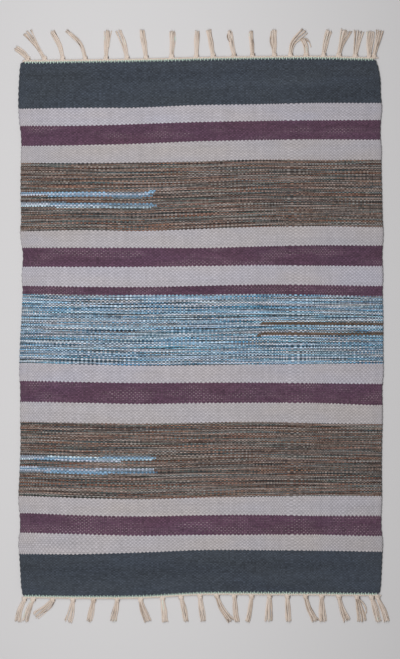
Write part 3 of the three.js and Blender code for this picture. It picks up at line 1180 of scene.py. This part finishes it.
# Each bunch, in millimetres: the place across the rug of its knot, of its middle and of its
# tip, how far from the rug's middle line the tip lies, and its width half way and at the tip.
BUNCHES = {
    "far": np.array([
        (-286.5, -294.5, -308, 459, 10.5, 8.5),
        (-259, -272.5, -288, 486.5, 7.5, 19),
        (-229, -234.5, -246.5, 487, 8.5, 9.5),
        (-192, -199.5, -223, 488, 6.5, 6),
        (-157.5, -157, -155.5, 488, 8.5, 9.5),
        (-123, -128.5, -137.5, 488, 10.5, 12.5),
        (-91.5, -95, -98.5, 489, 9, 8.5),
        (-49.5, -48.5, -48, 487, 10, 11.5),
        (-8.5, -8, -7.5, 488, 8.5, 8),
        (19, 15.5, 11.5, 489, 8.5, 9),
        (53.5, 49.5, 46, 488, 8.5, 7.5),
        (84, 82.5, 81, 487, 8.5, 8),
        (120, 119.5, 118.5, 489, 10, 10.5),
        (146.5, 151.5, 171.5, 488, 9, 13),
        (172.5, 172, 165.5, 474.5, 8.5, 6.5),
        (201.5, 205, 211, 488, 9.5, 10.5),
        (226.5, 231.5, 238.5, 489, 9.5, 16.5),
        (253.5, 256.5, 260.5, 488, 11, 17.5),
        (276.5, 277.5, 279, 487, 11.5, 13.5),
        (284.5, 289.5, 294.5, 488, 9, 13.5),
    ]) * MM,
    "near": np.array([
        (-292, -300.5, -303, 488.5, 9.5, 12),
        (-277.5, -286, -291, 488, 10, 12),
        (-245.5, -257.5, -275, 479, 11, 16),
        (-212, -214.5, -219.5, 489, 11, 14),
        (-178, -181.5, -186, 488, 10, 10.5),
        (-139, -142, -146, 487.5, 9.5, 11),
        (-100.5, -95.5, -87.5, 488, 11, 13),
        (-64.5, -62, -60, 489, 9.5, 9.5),
        (-34, -29.5, -25.5, 488, 10, 9),
        (-2.5, 0, 3.5, 487.5, 9.5, 9),
        (25.5, 34, 50, 487.5, 10, 12.5),
        (54, 55.5, 59, 489, 9.5, 9.5),
        (82.5, 80, 75, 488, 9, 9),
        (112, 111.5, 111, 487.5, 12, 13),
        (141.5, 142.5, 144, 488, 9, 9.5),
        (171.5, 177.5, 188, 488, 9, 10.5),
        (198, 198.5, 200.5, 488.5, 11, 12),
        (226.5, 232, 239.5, 487.5, 10.5, 14.5),
        (256.5, 261, 265, 488.5, 12, 16),
        (280.5, 287, 292, 488.5, 10, 10),
        (290, 299, 305.5, 488, 9.5, 10),
    ]) * MM,
}


def knot_wraps(side, roots, rng):
    """Slanting oval loops side by side: x and z run round the oval, and y leans with x."""
    turn = 2 * np.pi * np.arange(KNOT_STATIONS) / KNOT_STATIONS
    wrap = (np.arange(KNOT_WRAPS) - (KNOT_WRAPS - 1) / 2)[:, None]
    swell = 1 - KNOT_TAPER * np.abs(wrap)
    slant = rng.choice([-1, 1, 1], len(roots)) * rng.uniform(*KNOT_SLANT_SHARES, len(roots))
    half_width = KNOT_HALF_WIDTH * rng.uniform(*KNOT_WIDTH_SHARES, len(roots))
    middle = woven_end(side, roots) + side * KNOT_FROM_CLOTH
    slant, half_width, root, middle = (
        values[:, None, None] for values in (slant, half_width, roots, middle)
    )
    x = root + half_width * swell * np.cos(turn)
    lean = side * slant * KNOT_SLANT * np.cos(turn) * np.sin(turn).clip(0) ** 0.5
    y = middle + side * wrap * KNOT_WRAP_SPACING + lean
    z = KNOT_MIDDLE_HEIGHT + KNOT_HALF_HEIGHT * swell * np.sin(turn)
    return np.stack([x, y, np.broadcast_to(z, x.shape)], -1).reshape(-1, KNOT_STATIONS, 3)


def drawn_warps(side, roots, rng):
    """Threads drawn along the edge into a knot: from the cord, level, then curving outward."""
    reach = DRAWN_REACH * rng.uniform(*DRAWN_REACH_SHARES, (len(roots), len(DRAWN_REACH)))
    reach = reach[..., None]
    share = np.linspace(0, 1, DRAWN_STATIONS)
    x = roots[:, None, None] + reach * (1 - share) + np.sign(reach) * DRAWN_ASIDE * share
    inside = np.clip(x, *CORD_SPANS[side])
    out = DRAWN_FROM_CLOTH + DRAWN_OUT * share**DRAWN_OUT_POWER
    y = woven_end(side, inside) + side * out
    z = np.broadcast_to(DRAWN_HEIGHT + DRAWN_RISE * share, x.shape)
    return np.stack([x, y, z], -1).reshape(-1, DRAWN_STATIONS, 3)


def knot_shade_tails(side, roots, rng):
    """A dark short thread end at the right of each knot, which paints the shade there: a
    straight path outward.
    """
    right, start, length = (
        rng.uniform(*bounds, (len(roots), 1)) for bounds in (TAIL_RIGHT, TAIL_START, TAIL_LENGTH)
    )
    x = roots[:, None] + right + TAIL_LEAN
    y = woven_end(side, roots)[:, None] + side * (start + length * TAIL_SHARES)
    return np.stack([x, y, np.broadcast_to(TAIL_HEIGHTS, y.shape)], -1)


for end, side in SIDES:
    rng = np.random.default_rng(KNOT_SEEDS[end])
    roots = BUNCHES[end][:, 0]
    wraps = knot_wraps(side, roots, rng)
    wrap_tints = rng.uniform(*WRAP_TINTS, len(wraps))
    drawn = drawn_warps(side, roots, rng)
    drawn_tints = rng.uniform(*DRAWN_TINTS, len(drawn))
    # Dark thread ends that paint the shade at the right of each knot.
    shade_tails = knot_shade_tails(side, roots[:-1], rng)
    bundles = [
        thread_bundle(wraps, KNOT_THREAD, wrap_tints, reference=(0, 1, 0), closed=True),
        thread_bundle(drawn, DRAWN_RADIUS, drawn_tints),
        thread_bundle(shade_tails, TAIL_RADIUS, rng.uniform(*SHADE_TAIL_TINTS, len(shade_tails))),
    ]
    fit_fringe_piece(thread_piece(f"knots_{end}", bundles, KNOT_CHART_COLUMNS), end)


# The bunches
# Below each knot the cut warp ends lie on the floor, about ten threads side by side and on
# each other, bent and spread as they were last brushed, with uneven tips.

THREADS_PER_BUNCH = 10
THREAD_RADIUS = 0.85 * MM
THREAD_STATIONS = 12
LAYER_RISE = 1.35 * MM
ROOT_WIDTH = 6 * MM
LONGEST_SHORTFALL = 4 * MM
# Place across the bunch, from -1 to 1, and layer of each thread.
THREAD_PLACES = np.array([-1, -0.5, 0, 0.5, 1, -0.78, -0.27, 0.3, 0.76, 0.05])
THREAD_LAYERS = np.array([0, 0, 0, 0, 0, 1, 1, 1, 1, 2])
# How far a thread starts from its place and drifts from it by the tip, and the furthest
# place that it may reach.
PLACE_UNEVEN = 0.14
PLACE_DRIFT = 0.35
FURTHEST_PLACE = 1.05
# How far a thread sways at its tip, and the least and most of the waves it does so in.
SWAY = 0.6 * MM
SWAY_WAVES = (0.8, 2.0)
# Threads lie as high as they can on each other in a bunch of this width or less, and down
# to the least share of that where it is wider.
CROWDED_WIDTH = 9 * MM
LEAST_CROWDING = 0.5
THREAD_TINTS = (0.15, 0.85)
LOOSE_TINT_SHARE = 0.5
BUNCH_SEEDS = {"far": 41, "near": 42}
BUNCH_CHART_COLUMNS = 52

# Threads that have slipped out of their bunch: four places of each, in millimetres across
# the rug and out from its middle line.
LOOSE_THREADS = {
    "far": np.array([
        [(-153.5, 459), (-152, 469), (-150.5, 478), (-148.5, 487)],
        [(-124.5, 462), (-126.5, 471), (-129.5, 479), (-133, 487)],
        [(49, 467), (44.5, 471.5), (42.5, 478.5), (45.5, 486)],
        [(116.5, 458), (113.5, 467), (113.3, 476), (115.3, 486)],
        [(169, 474), (174, 473), (178, 467.5), (180.5, 460)],
        [(232, 460), (237, 468.5), (242.5, 477), (248, 486)],
        [(152.5, 466), (160, 470.5), (168.5, 472), (176, 469.5)],
    ]) * MM,
    "near": np.array([
        [(-243, 455), (-247, 462.5), (-253, 468.5), (-260, 473.5)],
        [(181.5, 473), (186, 477.5), (191, 482), (196, 487)],
        [(259.5, 450), (265, 456), (270, 463.5), (272.5, 473)],
        [(262, 452), (268.5, 459), (272, 467.5), (270, 476)],
        [(294, 455), (299, 463), (304.5, 471), (307.3, 480)],
    ]) * MM,
}
LOOSE_START_HEIGHT = 2.2 * MM


def loose_threads(side, routes):
    """Paths through their four places, sinking from the top of the bunch to the floor as
    the square of what is left of the way."""
    t = np.linspace(0, 3, THREAD_STATIONS)
    x, out = (np.array([through(range(4), route[:, k], t) for route in routes]) for k in (0, 1))
    z = THREAD_RADIUS + LOOSE_START_HEIGHT * (1 - t / 3) ** 2
    return np.stack([x, side * out, np.broadcast_to(z, x.shape)], -1)


def three_point_curve(start, middle, end, t):
    """Catmull-Rom through three values for each bunch, at shares t for each of its threads."""
    weights = [through((0, 0.5, 1), unit, t) for unit in np.eye(3)]
    return sum(weight * value[:, None, None] for weight, value in zip(weights, (start, middle, end)))


def bunch_threads(side, bunches, rng):
    """Paths of all threads: the bunch's curved middle line, plus each thread's own place
    across the width there, with a slow sway, lying on the floor or on the layer below."""
    root, bend, tip, out, waist, spread = bunches.T
    each = (len(bunches), THREADS_PER_BUNCH)
    root_y = woven_end(side, root) + side * KNOT_FROM_CLOTH
    tip_y = side * out
    length = np.hypot(tip - root, tip_y - root_y)
    reach = 1 - rng.uniform(0, LONGEST_SHORTFALL, each) / length[:, None]
    t = np.linspace(0, 1, THREAD_STATIONS) * reach[..., None]
    x = three_point_curve(root, bend, tip, t)
    y = three_point_curve(root_y, (root_y + tip_y) / 2, tip_y, t)
    width = three_point_curve(np.full(len(bunches), ROOT_WIDTH), waist, spread, t)
    along_x, along_y = np.gradient(x, axis=-1), np.gradient(y, axis=-1)
    along = np.hypot(along_x, along_y)
    start = THREAD_PLACES + rng.uniform(-PLACE_UNEVEN, PLACE_UNEVEN, each)
    drift = rng.uniform(-PLACE_DRIFT, PLACE_DRIFT, each)[..., None] * t
    across = np.clip(start[..., None] + drift, -FURTHEST_PLACE, FURTHEST_PLACE)
    phase = rng.uniform(0, 2 * np.pi, (*each, 1))
    waves = rng.uniform(*SWAY_WAVES, (*each, 1))
    sway = SWAY * np.sin(2 * np.pi * waves * t + phase) * t
    offset = across * (width / 2 - THREAD_RADIUS) + sway
    crowding = np.clip(CROWDED_WIDTH / width, LEAST_CROWDING, 1)
    x = x - offset * along_y / along
    y = y + offset * along_x / along
    z = THREAD_RADIUS + THREAD_LAYERS[:, None] * LAYER_RISE * crowding
    return np.stack([x, y, z], -1).reshape(-1, THREAD_STATIONS, 3)


for end, side in SIDES:
    rng = np.random.default_rng(BUNCH_SEEDS[end])
    slipped = loose_threads(side, LOOSE_THREADS[end])
    paths = np.concatenate([bunch_threads(side, BUNCHES[end], rng), slipped])
    tints = rng.uniform(*THREAD_TINTS, len(paths))
    tints[-len(slipped):] *= LOOSE_TINT_SHARE
    bundle = thread_bundle(paths, THREAD_RADIUS, tints)
    fit_fringe_piece(thread_piece(f"bunches_{end}", [bundle], BUNCH_CHART_COLUMNS), end)


# The floor, light and camera
# A plain pale floor, one long soft light hung left of the rug's middle with dim light all
# round, and a camera straight above, as in the photograph.

FLOOR_HALF_SIZE = 30.0
FLOOR_FINISH = {"Base Color": (0.61, 0.60, 0.605, 1), "Roughness": 0.9}
STRIP_LIGHT_WIDTH = 0.4
STRIP_LIGHT_LENGTH = 2.4
STRIP_LIGHT_POWER = 13.3
STRIP_LIGHT_PLACE = (-0.25, 0.1, 1.0)
STRIP_LIGHT_AIM = (0, 0.05, 0)
ROOM_LIGHT = 0.35
# The photograph's height in pixels and the size of one on the rug, the lens and its sensor
# in millimetres, and the place on the rug in the middle of the view.
IMAGE_HEIGHT = 659
FLOOR_PER_PIXEL = 1.648 * MM
LENS = 100.0
SENSOR = 36.0
VIEW_CENTRE = (-2.5 * MM, -5.8 * MM)

floor_mesh = bpy.data.meshes.new("floor")
corners = [(-1, -1), (1, -1), (1, 1), (-1, 1)]
corners = [(x * FLOOR_HALF_SIZE, y * FLOOR_HALF_SIZE, 0) for x, y in corners]
floor_mesh.from_pydata(corners, [], [(0, 1, 2, 3)])
floor_mesh.materials.append(new_material("pale_floor", FLOOR_FINISH)[0])
floor = new_object("floor", floor_mesh)

strip_light = bpy.data.lights.new("strip_light", "AREA")
strip_light.shape = "RECTANGLE"
strip_light.size = STRIP_LIGHT_WIDTH
strip_light.size_y = STRIP_LIGHT_LENGTH
strip_light.energy = STRIP_LIGHT_POWER
lamp = new_object("strip_light", strip_light)
lamp.location = STRIP_LIGHT_PLACE
lamp.visible_camera = False
# The light faces its aim, with its long side along the rug.
backward = (lamp.location - mathutils.Vector(STRIP_LIGHT_AIM)).normalized()
sideways = mathutils.Vector((0, 1, 0)).cross(backward).normalized()
turned = mathutils.Matrix((sideways, backward.cross(sideways), backward)).transposed()
lamp.rotation_euler = turned.to_euler()

world = bpy.data.worlds.new("studio")
world.use_nodes = True
room_light = world.node_tree.nodes["Background"]
room_light.inputs["Color"].default_value = (1, 1, 1, 1)
room_light.inputs["Strength"].default_value = ROOM_LIGHT
bpy.context.scene.world = world
bpy.context.scene.view_settings.view_transform = "Standard"

camera_data = bpy.data.cameras.new("camera")
camera_data.lens = LENS
camera_data.sensor_width = SENSOR
camera = new_object("camera", camera_data)
distance = IMAGE_HEIGHT * FLOOR_PER_PIXEL * LENS / SENSOR
camera.location = (*VIEW_CENTRE, distance + CLOTH_TOP)
bpy.context.scene.camera = camera
